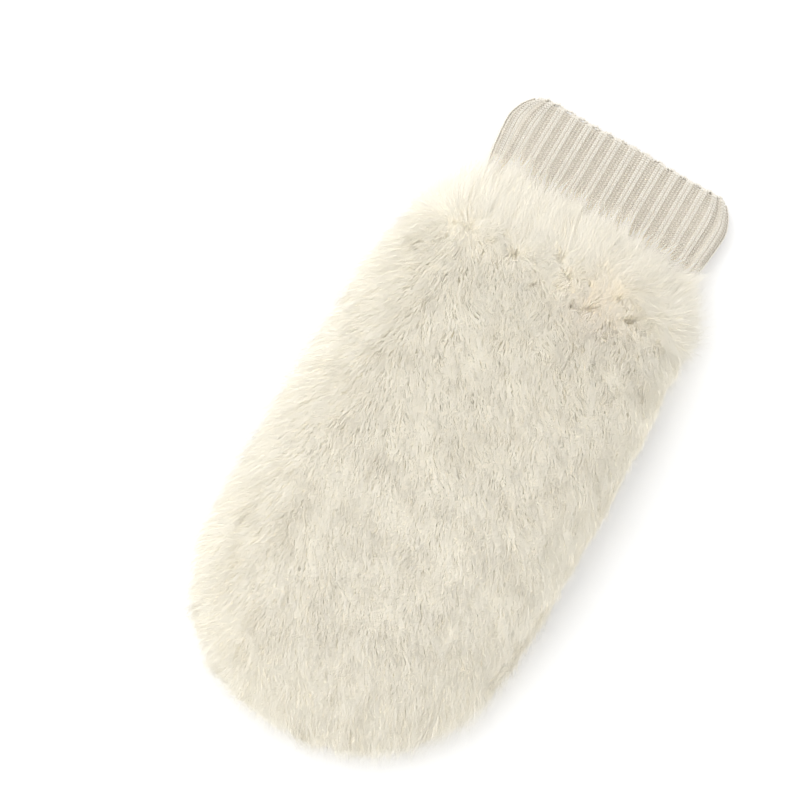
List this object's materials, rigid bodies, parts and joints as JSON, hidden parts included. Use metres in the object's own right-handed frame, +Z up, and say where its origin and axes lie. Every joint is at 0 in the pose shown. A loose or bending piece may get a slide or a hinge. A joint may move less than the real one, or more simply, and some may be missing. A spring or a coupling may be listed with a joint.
{
  "type": "fur-backed cashmere mitten with a flip-top fingertip cap",
  "caption": "Left-hand mitten lying palm down: ribbed knit cuff, knit palm with folded thumb, fingertip cap with a ribbed band, and a deep cream fur back.",
  "frame": {"origin": "on the surface that the mitten lies on, below the middle of its outline", "axes": "+X to the thumb side, +Y from the cuff to the fingertips, +Z up out of the fur back"},
  "size_m": [0.137, 0.2716, 0.0411],
  "materials": {
    "cashmere_rib": "two by two rib knit, soft and matte",
    "cashmere_knit": "fine stockinette knit, soft and matte",
    "seam_thread": "serged wool thread, matte",
    "fur": "long dense cream fur with a soft sheen"
  },
  "bodies": {
    "root": {"rib_cuff": "cashmere_rib", "hand": "cashmere_knit", "thumb": "cashmere_knit", "cap_band": "cashmere_rib", "cap": "cashmere_knit", "cap_seam": "seam_thread", "fur_back": "fur"}
  },
  "joints": []
}
